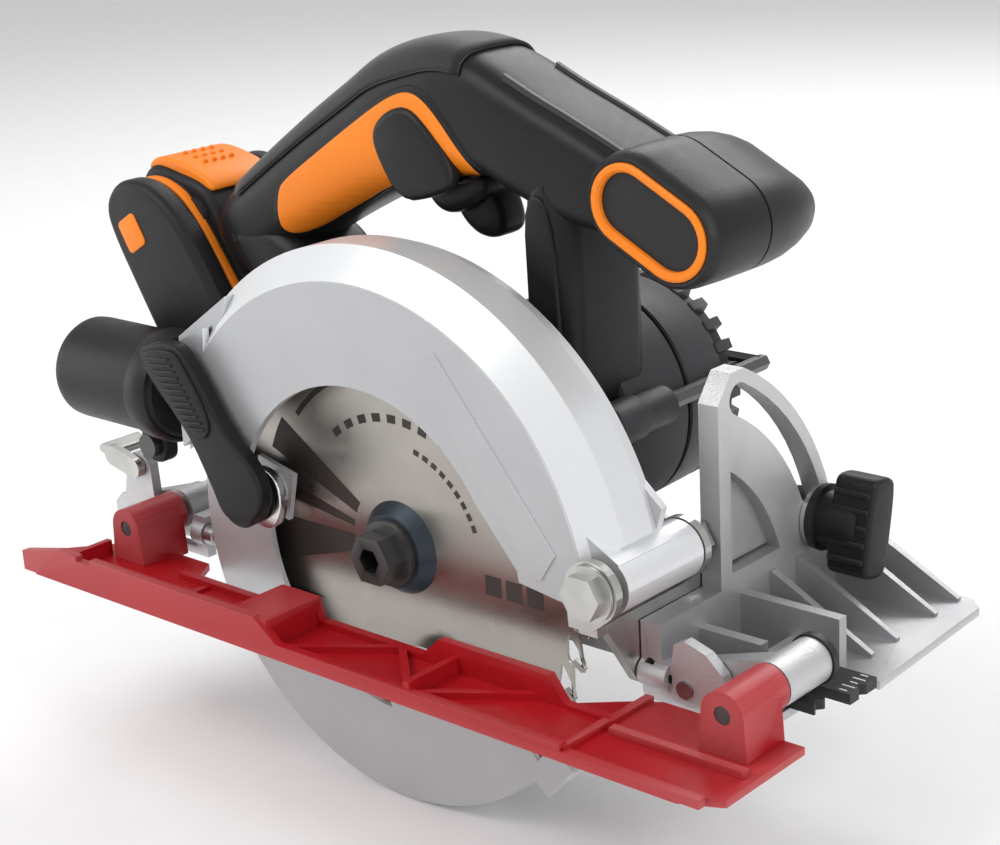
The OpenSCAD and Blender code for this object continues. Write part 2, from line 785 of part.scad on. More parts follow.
module motor_screws() color("dimgray") {
    for (a = [45:90:315]) {
        ybar(motor_x + 27.5 * cos(a), motor_z + 27.5 * sin(a), 112.1, 113.6, 2.6);
    }
}

// ---------- handle shells ----------

module body_outline() {
    grip_frame() {
        rrect([-6, -42], [96, 2.5], 12);
        rrect([-12, -88], [12, 2], 6);
        rrect([78, -58], [112, 2.5], 10);
        rrect([84, -40], [118, 1], 12);
    }
    // beam to the front grip
    bar2([6, 175], [80, 149], 12.5);
    // pillar down to the motor
    bar2([40, 148], [52, 112], 9.5);
    bar2([52, 112], [50, 70], 10);
    bar2([54, 126], [76, 150], 9);
    // web behind the guard
    polygon([[-78, 62], [-70, 96], [-56, 100], [30, 98], [46, 88], [46, 60], [-20, 44], [-66, 50]]);
}

module front_grip_outline(grow) {
    bar2([91, 152], [108, 143], 15.3 + grow);
}

module shell_hollow() {
    grip_frame() {
        rrect([2, -38], [92, -2], 9);
        rrect([-8, -80], [8, -4], 4);
        rrect([82, -54], [106, -6], 8);
    }
    bar2([9, 174], [75, 150.5], 8.5);
}

module motor_clearance() {
    ybar(motor_x, motor_z, 10, 120, motor_r + 0.4);
    side(10, 45) case_outline(1.9);
}

module left_shell() color([0.13, 0.13, 0.14]) difference() {
    union() {
        side(y_near, body_y - 0.1) body_outline();
        side(12.2, body_y - 0.1) front_grip_outline(0);
    }
    side(y_near + 3, body_y + 1) shell_hollow();
    side(11, 16) front_grip_outline(-3.1);
    side(24, body_y + 1) front_grip_outline(-3);
    motor_clearance();
    // recess for the inlay, the trigger mouth
    side(y_near - 1, y_near + 1.2) grip_frame() rrect([16, -35], [80, -13], 6);
    side(y_near + 4, body_y + 1) grip_frame() translate([84, -70]) square([18, 30]);
    ybar(clamp_x, clamp_z, 12, 70, 15);
    side(12, 66) translate([clamp_x - 40, clamp_z - 30]) square([46, 34]);
    ybar(key_x, key_z, 20, 120, 8.2);
}

module right_shell() color([0.13, 0.13, 0.14]) difference() {
    union() {
        side(body_y + 0.1, y_far) body_outline();
        side(body_y + 0.1, 60) front_grip_outline(0);
        hull() {
            side(57, 59.5) front_grip_outline(-0.3);
            side(85, 86) front_grip_outline(-10);
        }
    }
    side(body_y - 1, y_far - 3) shell_hollow();
    side(body_y - 1, 56) front_grip_outline(-3);
    motor_clearance();
    side(body_y - 1, y_far - 4) grip_frame() translate([84, -70]) square([18, 30]);
    side(y_far - 6, y_far + 1) grip_frame() translate([62, -22]) circle(6.3);
    side(y_far - 8, y_far - 2) grip_frame() translate([62, -22]) circle(8.3);
    ybar(clamp_x, clamp_z, 12, 70, 15);
    side(12, 66) translate([clamp_x - 40, clamp_z - 30]) square([46, 34]);
    ybar(key_x, key_z, 20, 120, 8.2);
}

module shell_screws() color("dimgray") {
    for (p = [[-84, 122], [-14, 168], [30, 148], [70, 158], [52, 120], [-60, 66]]) {
        ybar(p[0], p[1], y_far + 0.1, y_far + 1.6, 3);
    }
}

module soft_grip() color([0.08, 0.08, 0.08]) {
    // rubber on the back of the grip
    side(y_near - 0.4, y_far + 0.4) grip_frame() difference() {
        hull() {
            translate([2, 2.6]) square([80, 2.2]);
            translate([86, 2.6]) square([6, 1.4]);
        }
    }
}

module grip_inlay() color("darkorange") {
    side(y_near - 1, y_near + 1) grip_frame() rrect([16.4, -34.6], [79.6, -13.4], 5.6);
}

module front_grip_ring() color("darkorange") {
    side(12.2, 15.8) difference() {
        front_grip_outline(-3.3);
        front_grip_outline(-5.8);
    }
}

// ---------- controls ----------

module trigger() color([0.1, 0.1, 0.1]) {
    side(body_y - 8, body_y + 8) grip_frame() hull() {
        translate([88, -48]) circle(3, $fn = 32);
        translate([88, -62]) circle(3, $fn = 32);
        translate([97, -64]) circle(4, $fn = 32);
        translate([97, -48]) circle(3, $fn = 32);
    }
}

module lock_off_button() color("darkorange") {
    side(y_far - 7.6, y_far - 2.2) grip_frame() translate([62, -22]) circle(8);
    side(y_far - 5, y_far + 3) grip_frame() translate([62, -22]) circle(6);
}

module switch_module() color("dimgray") {
    side(body_y - 11, body_y + 11) grip_frame() translate([84.5, -39.5]) square([19, 22.5]);
}

module controller_board() color("green") {
    side(body_y - 13, body_y + 13) grip_frame() translate([-5, -70]) square([2, 50]);
    side(body_y - 10, body_y + 10) grip_frame() translate([-3.2, -62]) square([5, 18]);
}

module battery_terminal() color("dimgray") {
    side(batt_y - 15, batt_y + 15) grip_frame() translate([-15.6, -60]) square([3.6, 22]);
}

// ---------- battery ----------

module battery_case() color([0.16, 0.16, 0.17]) difference() {
    union() {
        // side plates
        for (y = [batt_near, batt_far - 11]) side(y, y + 11) grip_frame() rrect([-57, -72], [-21, 20], 12);
        // necks that the stripes sit on
        side(batt_near + 10.9, batt_far - 10.9) grip_frame() rrect([-56, -68], [-22, 19], 10.8);
        // middle block
        side(batt_near + 14.4, batt_far - 14.4) grip_frame() hull() {
            translate([-48, 14]) circle(7, $fn = 32);
            translate([-27, 15]) circle(8, $fn = 32);
            translate([-48, -64]) circle(7, $fn = 32);
            translate([-21, -66]) circle(5, $fn = 32);
            translate([-18, 2]) circle(4, $fn = 32);
        }
    }
    side(batt_near + 13, batt_far - 13) grip_frame() translate([-52, -65.5]) square([28.8, 73.5]);
    side(batt_y - 17, batt_y + 17) grip_frame() translate([-20, -90]) square([9, 54]);
    side(batt_y - 17, batt_y + 17) grip_frame() translate([-46, 15.4]) square([24, 9]);
}

module battery_stripes() color("darkorange") {
    for (y = [batt_near + 11.2, batt_far - 14.2]) {
        side(y, y + 3) grip_frame() difference() {
            rrect([-58, -70], [-20, 21], 12);
            rrect([-56.2, -68.2], [-21.8, 19.2], 11);
        }
    }
}

module battery_latch() color("darkorange") {
    side(batt_y - 16.6, batt_y + 16.6) grip_frame() hull() {
        translate([-44, 19]) circle(1, $fn = 32);
        translate([-24, 19]) circle(1, $fn = 32);
        translate([-43, 22.6]) circle(1.6, $fn = 32);
        translate([-25, 23]) circle(1.6, $fn = 32);
    }
}

module battery_cells() color("seagreen") {
    for (i = [0:4]) for (j = [0:1]) {
        p = [-44.6 + 14.2 * j, -58 + 14 * i];
        x = grip_x + p[0] * cos(grip_ang) - p[1] * sin(grip_ang);
        z = grip_z + p[0] * sin(grip_ang) + p[1] * cos(grip_ang);
        ybar(x, z, batt_near + 14, batt_far - 14, 6.7);
    }
}

module hex_key() color([0.12, 0.11, 0.11]) {
    translate([key_x, 24, key_z]) rotate([-90, 0, 0]) cylinder(h = 94, r = 2.9, $fn = 6);
    translate([key_x, 115.4, key_z]) rotate([0, -90, 0]) cylinder(h = 25, r = 2.9, $fn = 6);
}

// The frame's origin is on the sole, midway across its width
module placed() translate([0, -sole_y, 0]) children();

placed() base_plate();
placed() cut_indicator();
placed() link_pivot_pins();
placed() front_link();
placed() front_link_cap();
placed() rear_link();
placed() guide_rail();
placed() rail_pins();
placed() rail_release_lever();
placed() bevel_pins();
placed() bevel_yoke();
placed() rear_bevel_bracket();
placed() bevel_clamp_bolt();
placed() bevel_washer();
placed() bevel_knob();
placed() depth_pivot_bolt();
placed() depth_pivot_nut();
placed() depth_clamp_bolt();
placed() depth_clamp_lever();
placed() upper_guard();
placed() guard_screws();
placed() dust_port();
placed() dust_port_screw();
placed() lower_guard();
placed() guard_lever();
placed() guard_lever_screw();
placed() guard_spring();
placed() gear_case();
placed() spindle_bearings();
placed() spindle();
placed() spindle_gear();
placed() idler_gear();
placed() inner_flange();
placed() blade();
placed() outer_flange();
placed() blade_bolt();
placed() spindle_lock();
placed() armature();
placed() motor_fan();
placed() motor_bearings();
placed() motor_stator();
placed() motor_housing();
placed() motor_end_cap();
placed() motor_screws();
placed() left_shell();
placed() right_shell();
placed() shell_screws();
placed() soft_grip();
placed() grip_inlay();
placed() front_grip_ring();
placed() trigger();
placed() lock_off_button();
placed() switch_module();
placed() controller_board();
placed() battery_terminal();
placed() battery_case();
placed() battery_stripes();
placed() battery_latch();
placed() battery_cells();
placed() hex_key();
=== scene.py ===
import bpy, bmesh, json, math
from math import cos, sin, pi, radians
from mathutils import Matrix, Vector
from mathutils.bvhtree import BVHTree

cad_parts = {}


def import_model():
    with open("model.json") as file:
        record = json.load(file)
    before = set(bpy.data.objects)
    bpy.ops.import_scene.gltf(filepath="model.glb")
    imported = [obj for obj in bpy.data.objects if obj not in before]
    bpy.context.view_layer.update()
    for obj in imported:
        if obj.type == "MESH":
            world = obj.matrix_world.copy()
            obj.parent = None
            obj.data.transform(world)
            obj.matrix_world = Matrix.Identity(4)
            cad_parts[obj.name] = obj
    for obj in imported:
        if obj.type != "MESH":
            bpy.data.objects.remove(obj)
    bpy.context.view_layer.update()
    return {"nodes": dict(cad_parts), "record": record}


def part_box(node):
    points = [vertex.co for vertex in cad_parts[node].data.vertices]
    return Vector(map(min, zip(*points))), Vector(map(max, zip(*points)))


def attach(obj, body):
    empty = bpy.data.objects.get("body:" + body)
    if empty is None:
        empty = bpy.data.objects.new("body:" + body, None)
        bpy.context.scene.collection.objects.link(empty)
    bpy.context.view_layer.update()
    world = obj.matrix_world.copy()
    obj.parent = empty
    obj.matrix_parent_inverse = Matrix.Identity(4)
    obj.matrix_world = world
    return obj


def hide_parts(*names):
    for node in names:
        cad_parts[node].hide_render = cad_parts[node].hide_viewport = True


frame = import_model()
K = 0.001                        # metres in a millimetre
SH = Vector((0, -0.060, 0))      # from the blade's plane to the frame's origin
AZ = 27.5                        # height of the arbor, mm
GRIP_ORIGIN = (-100.0, 140.0)    # the battery and trigger are drawn in the grip's slanted frame
GRIP_SLOPE = radians(30)
HANDLE_Y = 43                    # middle plane of the handle


def world(lx, ly):
    """A point in the grip's slanted frame, as X and Z."""
    c, s = cos(GRIP_SLOPE), sin(GRIP_SLOPE)
    return (GRIP_ORIGIN[0] + lx * c - ly * s, GRIP_ORIGIN[1] + lx * s + ly * c)


# ---------- materials ----------

def mat(name, col, rough=0.5, metal=0.0, var=0.12, vs=45, bump=0.15, bs=1400, bd=0.00012, rv=0.08, coat=0.0,
        sheen=0.0, cell=0.0, aniso=0.0, edge_highlight=0.0, stretch=(1, 1, 1)):
    """A procedural finish.

    var and vs are the size and scale of the colour change, bump, bs and bd the strength, scale and depth of the
    surface grain, rv the change of roughness, cell the scale of a moulded pebble texture, and edge_highlight the
    painted highlight added to convex edges.
    """
    m = bpy.data.materials.new(name)
    m.use_nodes = True
    N, L = m.node_tree.nodes, m.node_tree.links
    b = N["Principled BSDF"]
    b.inputs["Metallic"].default_value = metal
    b.inputs["Coat Weight"].default_value = coat
    b.inputs["Coat Roughness"].default_value = 0.25
    b.inputs["Sheen Weight"].default_value = sheen
    b.inputs["Anisotropic"].default_value = aniso
    tc = N.new("ShaderNodeTexCoord")
    mp = N.new("ShaderNodeMapping")
    mp.inputs["Scale"].default_value = stretch
    L.new(tc.outputs["Object"], mp.inputs["Vector"])

    def noise(scale, detail=4):
        n = N.new("ShaderNodeTexNoise")
        n.inputs["Scale"].default_value = scale
        n.inputs["Detail"].default_value = detail
        L.new(mp.outputs["Vector"], n.inputs["Vector"])
        return n
    big, fine, mid = noise(vs), noise(bs, 3), noise(vs * 5)
    ramp = N.new("ShaderNodeValToRGB")
    ramp.color_ramp.elements[0].position = 0.3
    ramp.color_ramp.elements[1].position = 0.7
    ramp.color_ramp.elements[0].color = [c * (1 - var) for c in col] + [1]
    ramp.color_ramp.elements[1].color = [min(1, c * (1 + var)) for c in col] + [1]
    L.new(big.outputs["Fac"], ramp.inputs["Fac"])
    out = ramp.outputs["Color"]
    if edge_highlight:
        # painted highlight: convex edges get a slightly brighter colour, standing in for light caught on ridges and
        # rims
        g = N.new("ShaderNodeNewGeometry")
        edge_highlight_ramp = N.new("ShaderNodeValToRGB")
        edge_highlight_ramp.color_ramp.elements[0].position = 0.52
        edge_highlight_ramp.color_ramp.elements[1].position = 0.62
        L.new(g.outputs["Pointiness"], edge_highlight_ramp.inputs["Fac"])
        mx = N.new("ShaderNodeMix")
        mx.data_type = "RGBA"
        mx.inputs[7].default_value = [min(1, c + edge_highlight) for c in col] + [1]
        L.new(edge_highlight_ramp.outputs["Color"], mx.inputs[0])
        L.new(out, mx.inputs[6])
        out = mx.outputs[2]
    L.new(out, b.inputs["Base Color"])
    mr = N.new("ShaderNodeMapRange")
    mr.inputs["To Min"].default_value = max(0.03, rough - rv)
    mr.inputs["To Max"].default_value = min(1, rough + rv)
    L.new(mid.outputs["Fac"], mr.inputs["Value"])
    L.new(mr.outputs["Result"], b.inputs["Roughness"])
    bp = N.new("ShaderNodeBump")
    bp.inputs["Strength"].default_value = bump
    bp.inputs["Distance"].default_value = bd
    if cell:
        v = N.new("ShaderNodeTexVoronoi")
        v.inputs["Scale"].default_value = cell
        L.new(mp.outputs["Vector"], v.inputs["Vector"])
        ad = N.new("ShaderNodeMath")
        ad.operation = "ADD"
        L.new(v.outputs["Distance"], ad.inputs[0])
        L.new(fine.outputs["Fac"], ad.inputs[1])
        L.new(ad.outputs["Value"], bp.inputs["Height"])
    else:
        L.new(fine.outputs["Fac"], bp.inputs["Height"])
    L.new(bp.outputs["Normal"], b.inputs["Normal"])
    return m


# the edge values below paint a highlight on each material's convex edges
BLACK = mat("black_plastic", (0.010, 0.010, 0.011), 0.40, bump=0.35, cell=2200, edge_highlight=0.02)
SHELL = mat("shell_plastic", (0.011, 0.011, 0.012), 0.38, bump=0.3, cell=2600, rv=0.05, edge_highlight=0.02)
SOFT = mat("soft_rubber", (0.008, 0.008, 0.009), 0.58, bump=0.3, bs=2400, sheen=0.25)
GREY = mat("motor_plastic", (0.030, 0.029, 0.033), 0.45, bump=0.3, cell=1900, edge_highlight=0.03)
PACK = mat("pack_plastic", (0.013, 0.013, 0.015), 0.46, bump=0.35, cell=2000, edge_highlight=0.02)
ORANGE = mat("orange_plastic", (0.87, 0.225, 0.012), 0.42, var=0.04, bump=0.3, cell=2600, coat=0.05)
RED = mat("red_paint", (0.36, 0.006, 0.011), 0.40, var=0.10, vs=30, bump=0.22, bs=1200, coat=0.08,
          edge_highlight=0.06)
CAST = mat("cast_aluminium", (0.43, 0.43, 0.44), 0.46, 0.75, var=0.08, bump=0.4, bs=1500, bd=0.0002, cell=2200,
           edge_highlight=0.15)
POLISH = mat("machined_aluminium", (0.72, 0.72, 0.73), 0.24, 1.0, var=0.05, bump=0.12, bs=1800)
PAINT = mat("silver_paint", (0.45, 0.455, 0.465), 0.38, 0.45, var=0.03, bump=0.22, bs=2600, cell=3000,
            bd=0.00006, rv=0.04)
ZINC = mat("zinc_plate", (0.52, 0.52, 0.50), 0.32, 1.0, var=0.10, vs=90, bump=0.1)
STEEL = mat("ground_steel", (0.30, 0.29, 0.28), 0.28, 1.0, var=0.08, bump=0.1)
OXIDE = mat("black_oxide", (0.03, 0.03, 0.03), 0.34, 0.6, var=0.15, bump=0.15, edge_highlight=0.08)
FLANGE = mat("blued_flange", (0.055, 0.068, 0.085), 0.42, 0.7, var=0.06, bump=0.12)
COPPER = mat("copper_windings", (0.55, 0.26, 0.12), 0.35, 0.9, stretch=(1, 12, 1), bump=0.4, bs=400)
BOARD = mat("board_lacquer", (0.03, 0.18, 0.07), 0.3, coat=0.5)
PRINT = mat("dark_print", (0.055, 0.045, 0.04), 0.5, 0.4, var=0.2, bump=0.05)
WHITE = mat("pale_print", (0.75, 0.75, 0.75), 0.5, var=0.04, bump=0.05)

BLADE = mat("blade_steel", (0.40, 0.375, 0.345), 0.30, 1.0, var=0.05, vs=25, bump=0.05, aniso=0.75)


def brush(m):
    """Fine brushed rings about the arbor."""
    N, L = m.node_tree.nodes, m.node_tree.links
    tangent = N.new("ShaderNodeTangent")
    tangent.direction_type = "RADIAL"
    tangent.axis = "Y"
    L.new(tangent.outputs["Tangent"], N["Principled BSDF"].inputs["Tangent"])
    tc = N.new("ShaderNodeTexCoord")
    wave = N.new("ShaderNodeTexWave")
    wave.wave_type = "RINGS"
    wave.rings_direction = "Y"
    wave.inputs["Scale"].default_value = 480
    wave.inputs["Distortion"].default_value = 1.5
    L.new(tc.outputs["Object"], wave.inputs["Vector"])
    for n in N:
        if n.type == "BUMP":
            L.new(wave.outputs["Fac"], n.inputs["Height"])


def paint_rim_highlight(m, lo, hi, col):
    """Painted highlight: faces that lean away from the Y axis, as on a bevelled rim, get a brighter tone, standing in
    for the light that falls on them.
    """
    N, L = m.node_tree.nodes, m.node_tree.links
    b = N["Principled BSDF"]
    src = b.inputs["Base Color"].links[0].from_socket
    tc = N.new("ShaderNodeTexCoord")
    sp = N.new("ShaderNodeSeparateXYZ")
    ab = N.new("ShaderNodeMath")
    ab.operation = "ABSOLUTE"
    mr = N.new("ShaderNodeMapRange")
    mr.inputs["From Min"].default_value = lo
    mr.inputs["From Max"].default_value = hi
    mr.inputs["To Min"].default_value = 1
    mr.inputs["To Max"].default_value = 0
    mx = N.new("ShaderNodeMix")
    mx.data_type = "RGBA"
    mx.inputs[7].default_value = col
    L.new(tc.outputs["Normal"], sp.inputs["Vector"])
    L.new(sp.outputs["Y"], ab.inputs[0])
    L.new(ab.outputs[0], mr.inputs["Value"])
    L.new(mr.outputs["Result"], mx.inputs[0])
    L.new(src, mx.inputs[6])
    L.new(mx.outputs[2], b.inputs["Base Color"])


brush(BLADE)
# painted highlight: the silver paint's rims and top faces get a pale colour where the light falls on them
paint_rim_highlight(PAINT, 0.95, 0.995, (0.76, 0.77, 0.785, 1))
for m in (SHELL, BLACK, SOFT, PACK, GREY, RED, ORANGE):
    m.node_tree.nodes["Principled BSDF"].inputs["Specular IOR Level"].default_value = 0.22
NODE_MAT = {"base_alloy": CAST, "link_alloy": CAST, "rail_red": RED, "black_plastic": BLACK, "zinc": ZINC,
            "pin_steel": STEEL, "black_steel": OXIDE, "guard_silver": PAINT, "case_alloy": CAST,
            "flange_steel": FLANGE, "blade_steel": BLADE, "motor_grey": GREY, "copper_iron": COPPER,
            "shell_black": SHELL, "soft_black": SOFT, "orange": ORANGE, "dark_plastic": GREY,
            "board_green": BOARD, "battery_grey": PACK, "cell_wrap": PACK}
SLOT = {s["node"]: s["material_slot"] for s in frame["record"]["subparts"]}
BEVEL = {"base_plate": 0.7, "guide_rail": 0.7, "bevel_yoke": 0.5, "rear_bevel_bracket": 0.3, "upper_guard": 0.4,
         "lower_guard": 0.3, "front_link": 0.8, "rear_link": 0.8, "front_link_cap": 0.8, "cut_indicator": 0.4,
         "gear_case": 0.6, "rail_release_lever": 0.4, "hex_key": 0.2, "blade_bolt": 0.4,
         "depth_pivot_bolt": 0.4, "bevel_clamp_bolt": 0.3, "outer_flange": 0.3}
for n, o in frame["nodes"].items():
    for s in o.material_slots:
        s.material = OXIDE if n == "rail_pins" else NODE_MAT[SLOT[n]]
    if n in BEVEL:
        md = o.modifiers.new("bevel", "BEVEL")
        md.width = BEVEL[n] * K
        md.segments = 2
        md.limit_method = "ANGLE"
        md.angle_limit = radians(32)
        md.use_clamp_overlap = True


# ---------- mesh helpers (millimetres) ----------

def put(name, me, m, body, slot, rep=(), bevel=0.0, seg=2, angle=34):
    """Makes an object of a mesh in metres, moves it into the frame, and has it ride on its body."""
    me.transform(Matrix.Translation(SH))
    o = bpy.data.objects.new(name, me)
    bpy.context.scene.collection.objects.link(o)
    me.materials.clear()
    me.materials.append(m)
    for p in me.polygons:
        p.use_smooth = True
    if bevel:
        md = o.modifiers.new("bevel", "BEVEL")
        md.width = bevel * K
        md.segments = seg
        md.limit_method = "ANGLE"
        md.angle_limit = radians(angle)
    me.set_sharp_from_angle(angle=radians(angle))
    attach(o, body)
    if rep:
        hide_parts(*rep)
    return o


def from_bm(name, bm, *a, **k):
    """The same for a bmesh in millimetres."""
    bmesh.ops.recalc_face_normals(bm, faces=bm.faces)
    me = bpy.data.meshes.new(name)
    bm.to_mesh(me)
    bm.free()
    me.transform(Matrix.Scale(K, 4))
    return put(name, me, *a, **k)


def boxes(name, matrices, *a, **k):
    """One piece of small bevelled blocks, one for each matrix."""
    bm = bmesh.new()
    for m in matrices:
        bmesh.ops.create_cube(bm, size=1, matrix=m)
    return from_bm(name, bm, *a, **k)


def chaikin(p, n=2):
    """A closed outline with its corners cut n times."""
    for _ in range(n):
        q = []
        for i in range(len(p)):
            a, b = p[i], p[(i + 1) % len(p)]
            q += [(0.75 * a[0] + 0.25 * b[0], 0.75 * a[1] + 0.25 * b[1]),
                  (0.25 * a[0] + 0.75 * b[0], 0.25 * a[1] + 0.75 * b[1])]
        p = q
    return p


def slab_mesh(outline, holes, y0, y1, r, res=4):
    """A side-view outline with holes, given thickness along Y and round edges."""
    cu = bpy.data.curves.new("c", "CURVE")
    cu.dimensions = "2D"
    cu.fill_mode = "BOTH"
    for pts in [outline] + list(holes):
        sp = cu.splines.new("POLY")
        sp.points.add(len(pts) - 1)
        for i, p in enumerate(pts):
            sp.points[i].co = (p[0], p[1], 0, 1)
        sp.use_cyclic_u = True
    cu.extrude = (y1 - y0) / 2 - r
    cu.bevel_depth = r
    cu.bevel_resolution = res
    cu.offset = -r
    o = bpy.data.objects.new("c", cu)
    bpy.context.scene.collection.objects.link(o)
    dg = bpy.context.evaluated_depsgraph_get()
    me = bpy.data.meshes.new_from_object(o.evaluated_get(dg))
    bpy.data.objects.remove(o)
    bpy.data.curves.remove(cu)
    for v in me.vertices:
        x, z, d = v.co
        v.co = (x * K, ((y0 + y1) / 2 - d) * K, z * K)
    bm = bmesh.new()
    bm.from_mesh(me)
    bmesh.ops.remove_doubles(bm, verts=bm.verts, dist=1e-6)
    bmesh.ops.recalc_face_normals(bm, faces=bm.faces)
    bm.to_mesh(me)
    bm.free()
    return me


def slab(name, outline, holes, y0, y1, r, m, body, slot, rep=(), res=4):
    return put(name, slab_mesh(outline, holes, y0, y1, r, res), m, body, slot, rep)


def loft(name, rings, *a, cap=True, **k):
    """A skin through rings of points."""
    bm = bmesh.new()
    vs = [[bm.verts.new(p) for p in r] for r in rings]
    n = len(rings[0])
    for i in range(len(rings) - 1):
        for j in range(n):
            bm.faces.new((vs[i][j], vs[i][(j + 1) % n], vs[i + 1][(j + 1) % n], vs[i + 1][j]))
    if cap:
        bm.faces.new(vs[0])
        bm.faces.new(vs[-1])
    return from_bm(name, bm, *a, **k)


def lathe(name, prof, c, axis, *a, n=96, cap=True, **k):
    """Turned shape: prof is (distance along the axis, radius)."""
    rings = []
    for d, r in prof:
        ring = []
        for j in range(n):
            t = 2 * pi * j / n
            if axis == "Y":
                ring.append((c[0] + r * cos(t), d, c[1] + r * sin(t)))
            else:
                ring.append((d, c[0] + r * cos(t), c[1] + r * sin(t)))
        rings.append(ring)
    return loft(name, rings, *a, cap=cap, **k)


def capsule(p, q, r, n=14):
    """The outline of a round-ended bar from p to q."""
    t = math.atan2(q[1] - p[1], q[0] - p[0])
    pts = []
    for c, a0 in ((q, t - pi / 2), (p, t + pi / 2)):
        pts += [(c[0] + r * cos(a0 + pi * i / n), c[1] + r * sin(a0 + pi * i / n)) for i in range(n + 1)]
    return pts


def rr(a, b, r, n=6):
    """A rectangle with round corners."""
    pts = []
    corners = ((b[0] - r, b[1] - r, 0), (a[0] + r, b[1] - r, 90), (a[0] + r, a[1] + r, 180),
               (b[0] - r, a[1] + r, 270))
    for cx, cy, a0 in corners:
        angles = [radians(a0 + 90 * i / n) for i in range(n + 1)]
        pts += [(cx + r * cos(t), cy + r * sin(t)) for t in angles]
    return pts


def G(pts):
    """An outline drawn in the grip's slanted frame."""
    return [world(*p) for p in pts]


# ---------- handle ----------

def sup(t, n):
    """A point on a superellipse of power n."""
    c, s_ = cos(t), sin(t)
    return (math.copysign(abs(c) ** (2 / n), c), math.copysign(abs(s_) ** (2 / n), s_))


def catmull(rows, k=4):
    """Smooth rows of numbers, k steps between neighbours."""
    out = []
    for i in range(len(rows) - 1):
        p0, p1, p2, p3 = rows[max(i - 1, 0)], rows[i], rows[i + 1], rows[min(i + 2, len(rows) - 1)]
        for j in range(k):
            t = j / k
            out.append([0.5 * (2 * b + (c - a) * t + (2 * a - 5 * b + 4 * c - d) * t * t
                               + (3 * b - a - 3 * c + d) * t ** 3) for a, b, c, d in zip(p0, p1, p2, p3)])
    out.append(list(rows[-1]))
    return out


# top x, z, bottom x, z, half width, squareness, along the grip and the front beam
spine = catmull([(-115, 126, -96, 98, 18, 3.0), (-112, 131, -92, 104, 19, 3.0), (-104, 136.5, -84, 111, 20, 2.9),
                 (-87, 149, -68, 119.5, 20, 2.7), (-64, 164.5, -49, 129, 20, 2.6), (-43, 177.5, -30, 137.5, 20, 2.6),
                 (-28, 186.5, -16, 141.5, 20, 2.7), (-12, 191.5, -4, 141, 20, 3.0), (4, 192.5, 10, 148, 20, 3.4),
                 (20, 188.5, 22, 150, 20, 4.0), (42, 178.5, 34, 146, 20, 4.6), (60, 171, 52, 140, 20, 4.8),
                 (78, 163, 68, 137.5, 20, 4.8), (92, 156.5, 84, 137, 19, 4.5)], 4)


def ring(s_, grow=0.0, a0=0.0, a1=2 * pi, n=44, closed=True):
    """A section of the handle, or an arc of it, pushed out by grow."""
    tx, tz, bx, bz, w_, e = s_
    cx_, cz_, hx, hz = (tx + bx) / 2, (tz + bz) / 2, (tx - bx) / 2, (tz - bz) / 2
    h = math.hypot(hx, hz)
    pts = []
    for j in range(n if closed else n + 1):
        c, v = sup(a0 + (a1 - a0) * j / n, e)
        k = (h + grow) / h * v
        pts.append((cx_ + hx * k, HANDLE_Y + (w_ + grow) * c, cz_ + hz * k))
    return pts


grip = loft("handle_grip", [ring(s_) for s_ in spine], SHELL, "saw", "shell_black", ("left_shell", "right_shell"))
low = chaikin([(-110, 124), (-98, 106), (-86, 94), (-72, 76), (-66, 60), (-58, 56), (-20, 50), (20, 58), (40, 61),
               (56, 60), (60, 72), (60, 152), (52, 160), (40, 156), (38.5, 128), (38.5, 116), (38.5, 106), (34, 100),
               (20, 99), (-40, 100), (-52, 103), (-62, 111), (-70, 120), (-84, 126)])
slab("handle_lower", low, [], 23, 63, 7.5, SHELL, "saw", "shell_black", (), 5)
panel = chaikin([(42, 150), (54, 146), (55.5, 100), (55.5, 68), (42.5, 68), (42.5, 110)])
slab("pillar_panel", panel, [], 21.9, 26, 1.2, SHELL, "saw", "shell_black", (), 3)

# soft rubber back, a skin over the top of the grip
sb = [ring(s_, 0.9, radians(28), radians(152), 30, False) for s_ in spine[9:36]]
bm = bmesh.new()
vs = [[bm.verts.new(p) for p in r] for r in sb]
for i in range(len(vs) - 1):
    for j in range(len(vs[0]) - 1):
        bm.faces.new((vs[i][j], vs[i][j + 1], vs[i + 1][j + 1], vs[i + 1][j]))
soft = from_bm("soft_back", bm, SOFT, "saw", "soft_black", ("soft_grip",))
sm = soft.modifiers.new("thick", "SOLIDIFY")
sm.thickness = 0.0012
sm.offset = 0

# long ribs along the beam's top
for k, y in enumerate((30, 56)):
    profile = ((-1.6, -1.5), (-0.8, 0.7), (0.8, 0.7), (1.6, -1.5))
    rings = [[(s_[0] - 0.2, y + dy, s_[1] + 0.1 + dz) for dy, dz in profile]
             for s_ in spine[38:52]]
    loft("beam_rib_%d" % k, rings, SHELL, "saw", "shell_black")
seam = [[(s_[0] - 0.1, HANDLE_Y + dy, s_[1] + dz) for dy, dz in ((-0.4, -1), (-0.4, 1.15), (0.4, 1.15), (0.4, -1))]
        for s_ in spine[10:31]]
loft("parting_line", seam, BLACK, "saw", "soft_black")

grip_tree = BVHTree.FromPolygons([tuple(v.co) for v in grip.data.vertices],
                                 [tuple(p.vertices) for p in grip.data.polygons])


